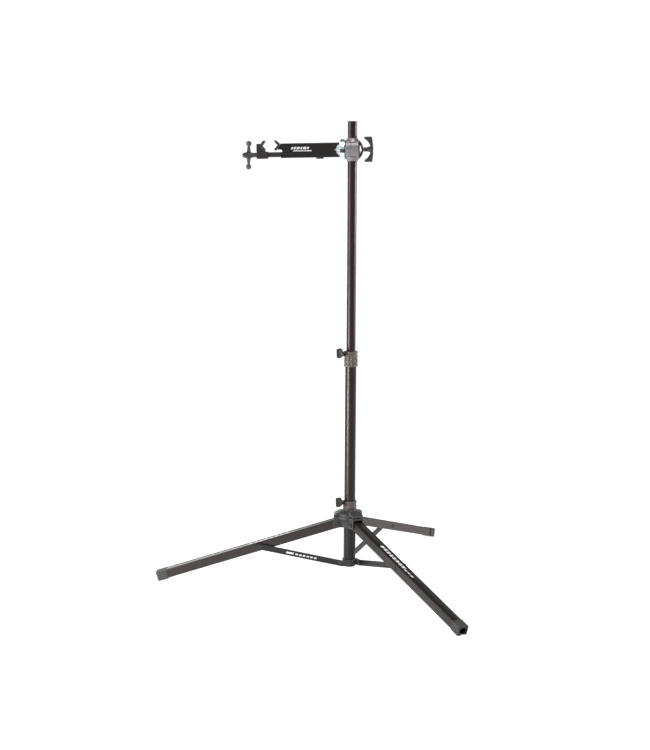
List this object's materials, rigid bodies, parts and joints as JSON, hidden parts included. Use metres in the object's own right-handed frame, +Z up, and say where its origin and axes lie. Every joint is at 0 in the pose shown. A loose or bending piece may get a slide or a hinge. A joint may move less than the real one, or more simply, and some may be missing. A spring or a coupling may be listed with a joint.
{
  "type": "bike repair stand",
  "caption": "Folding bike repair stand with a braced tripod base, telescoping round mast and a rotating clamp head with V jaws and a screw handle.",
  "frame": {"origin": "the mast axis where it meets the floor, midway between the three feet", "axes": "+Z up along the mast; the clamp arm points along -X, drooping 1.2 degrees; +Y is away from a person who faces the stand with the arm at their left"},
  "size_m": [0.9687, 1.0766, 1.438],
  "materials": {
    "black_tube": "gloss black anodised tube",
    "hub_casting": "glass-filled nylon, matte dark grey",
    "sleeve_nylon": "satin dark grey nylon",
    "collar_nylon": "warm grey nylon, satin",
    "bearing_nylon": "black acetal",
    "black_nylon": "black nylon",
    "knob_nylon": "warm grey nylon",
    "brass_pad": "turned brass",
    "steel_pin": "zinc-plated steel",
    "black_steel": "black oxide steel",
    "spring_steel": "bright spring wire",
    "leg_black": "black anodised extrusion with a gloss top",
    "strut_black": "satin black anodised bar",
    "boot_rubber": "moulded rubber",
    "barrel_metal": "gunmetal semi-gloss casting",
    "cap_gloss": "gloss black",
    "zinc_plate": "bright zinc plate",
    "arm_black": "black anodised, satin",
    "bar_black": "black steel bar",
    "pad_rubber": "black elastomer pad",
    "handle_grey": "dark grey nylon"
  },
  "bodies": {
    "lower_mast": {"main_tube": "black_tube", "tube_plug": "black_nylon", "lower_hub": "hub_casting", "strut_hub_pins": "black_steel", "mid_collar": "collar_nylon", "collar_bush": "bearing_nylon", "mid_pad": "brass_pad"},
    "mid_knob": {"mid_knob": "knob_nylon", "mid_screw": "black_steel"},
    "tripod_hub": {"tripod_hub": "hub_casting", "hub_liner": "bearing_nylon", "hub_sleeve": "sleeve_nylon", "hub_collar": "collar_nylon", "hub_pad": "brass_pad", "leg_pivot_bolts": "black_steel", "leg_pivot_nuts": "black_steel"},
    "hub_knob": {"hub_knob": "knob_nylon", "hub_screw": "black_steel"},
    "leg_left": {"leg_left": "leg_black", "foot_left": "boot_rubber", "brace_nut_left": "black_steel"},
    "leg_front": {"leg_front": "leg_black", "foot_front": "boot_rubber", "brace_nut_front": "black_steel"},
    "leg_back": {"leg_back": "leg_black", "foot_back": "boot_rubber", "brace_nut_back": "black_steel"},
    "strut_left": {"strut_left": "strut_black", "strut_bolt_left": "black_steel"},
    "strut_front": {"strut_front": "strut_black", "strut_bolt_front": "black_steel"},
    "strut_back": {"strut_back": "strut_black", "strut_bolt_back": "black_steel"},
    "mast_guide": {"guide_bush": "bearing_nylon"},
    "upper_mast": {"upper_tube": "black_tube", "guide_clips": "black_steel", "mast_cap": "black_nylon", "barrel_left": "barrel_metal", "barrel_right": "barrel_metal", "barrel_screws": "black_steel", "head_cap": "cap_gloss"},
    "clamp_arm": {"arm_bracket": "zinc_plate", "friction_core": "black_nylon", "axle_bolt": "steel_pin", "arm_tube": "arm_black", "arm_rivets": "black_steel", "arm_end_plug": "black_nylon", "fixed_jaw": "arm_black", "fixed_jaw_pad": "pad_rubber", "button_spring": "spring_steel"},
    "t_knob": {"t_knob": "handle_grey", "t_knob_nut": "brass_pad"},
    "release_button": {"release_button": "black_nylon"},
    "moving_jaw": {"slide_bar": "bar_black", "moving_jaw": "arm_black", "moving_jaw_pad": "pad_rubber", "screw_clip": "black_steel"},
    "t_handle": {"lead_screw": "steel_pin", "handle_body": "handle_grey", "tommy_bar": "handle_grey"}
  },
  "joints": [
    {"name": "hub_slide", "type": "slide", "parent": "lower_mast", "child": "tripod_hub", "axis": [0, 0, 1], "range_m": [0, 0.3891]},
    {"name": "leg_left_fold", "type": "hinge", "parent": "tripod_hub", "child": "leg_left", "pos_m": [-0.03792, -0.00252, 0.188], "axis": [0.0663, -0.9978, 0], "range_deg": [0, 73.05]},
    {"name": "leg_front_fold", "type": "hinge", "parent": "tripod_hub", "child": "leg_front", "pos_m": [0.02114, -0.03158, 0.188], "axis": [0.831, 0.5563, 0], "range_deg": [0, 73.05]},
    {"name": "leg_back_fold", "type": "hinge", "parent": "tripod_hub", "child": "leg_back", "pos_m": [0.01678, 0.0341, 0.188], "axis": [-0.8973, 0.4415, 0], "range_deg": [0, 73.05]},
    {"name": "strut_left_fold", "type": "hinge", "parent": "lower_mast", "child": "strut_left", "pos_m": [-0.0236, -0.02186, 0.06], "axis": [-0.0663, 0.9978, 0], "range_deg": [0, 75.4]},
    {"name": "strut_front_fold", "type": "hinge", "parent": "lower_mast", "child": "strut_front", "pos_m": [0.03073, -0.00951, 0.06], "axis": [-0.831, -0.5563, 0], "range_deg": [0, 75.4]},
    {"name": "strut_back_fold", "type": "hinge", "parent": "lower_mast", "child": "strut_back", "pos_m": [-0.00713, 0.03137, 0.06], "axis": [0.8973, -0.4415, 0], "range_deg": [0, 75.4]},
    {"name": "hub_knob_turn", "type": "hinge", "parent": "tripod_hub", "child": "hub_knob", "pos_m": [-0.02312, -0.01807, 0.25624], "axis": [-0.7708, -0.6022, 0.2079], "continuous": true},
    {"name": "mid_knob_turn", "type": "hinge", "parent": "lower_mast", "child": "mid_knob", "pos_m": [-0.02312, -0.01807, 0.72824], "axis": [-0.7708, -0.6022, 0.2079], "continuous": true},
    {"name": "mast_slide", "type": "slide", "parent": "lower_mast", "child": "mast_guide", "axis": [0, 0, 1], "range_m": [-0.36, 0.215]},
    {"name": "mast_swivel", "type": "hinge", "parent": "mast_guide", "child": "upper_mast", "pos_m": [0, 0, 0.9], "axis": [0, 0, 1], "continuous": true},
    {"name": "arm_spin", "type": "hinge", "parent": "upper_mast", "child": "clamp_arm", "pos_m": [0, 0, 1.353], "axis": [0.9998, 0, 0.0209], "continuous": true},
    {"name": "t_knob_turn", "type": "hinge", "parent": "clamp_arm", "child": "t_knob", "pos_m": [0.04999, 0, 1.35405], "axis": [0.9998, 0, 0.0209], "continuous": true},
    {"name": "release_press", "type": "slide", "parent": "clamp_arm", "child": "release_button", "axis": [-0.0209, 0, 0.9998], "range_m": [0, 0.003], "stiffness_N_per_m": 400, "springref_m": -0.003, "deforming": ["button_spring"]},
    {"name": "handle_turn", "type": "hinge", "parent": "moving_jaw", "child": "t_handle", "pos_m": [-0.31469, 0, 1.33501], "axis": [-0.9998, 0, -0.0209], "range_deg": [-1566.5, 1086.5]},
    {"name": "jaw_slide", "type": "slide", "parent": "clamp_arm", "child": "moving_jaw", "axis": [-0.9998, 0, -0.0209], "range_m": [-0.0261, 0.0181]}
  ],
  "couplings": [
    {"joint": "leg_left_fold", "follows": "hub_slide", "rad_per_m": 3.2759},
    {"joint": "leg_front_fold", "follows": "hub_slide", "rad_per_m": 3.2759},
    {"joint": "leg_back_fold", "follows": "hub_slide", "rad_per_m": 3.2759},
    {"joint": "strut_left_fold", "follows": "hub_slide", "rad_per_m": 3.3811},
    {"joint": "strut_front_fold", "follows": "hub_slide", "rad_per_m": 3.3811},
    {"joint": "strut_back_fold", "follows": "hub_slide", "rad_per_m": 3.3811},
    {"joint": "handle_turn", "follows": "jaw_slide", "rad_per_m": 1047.2}
  ]
}
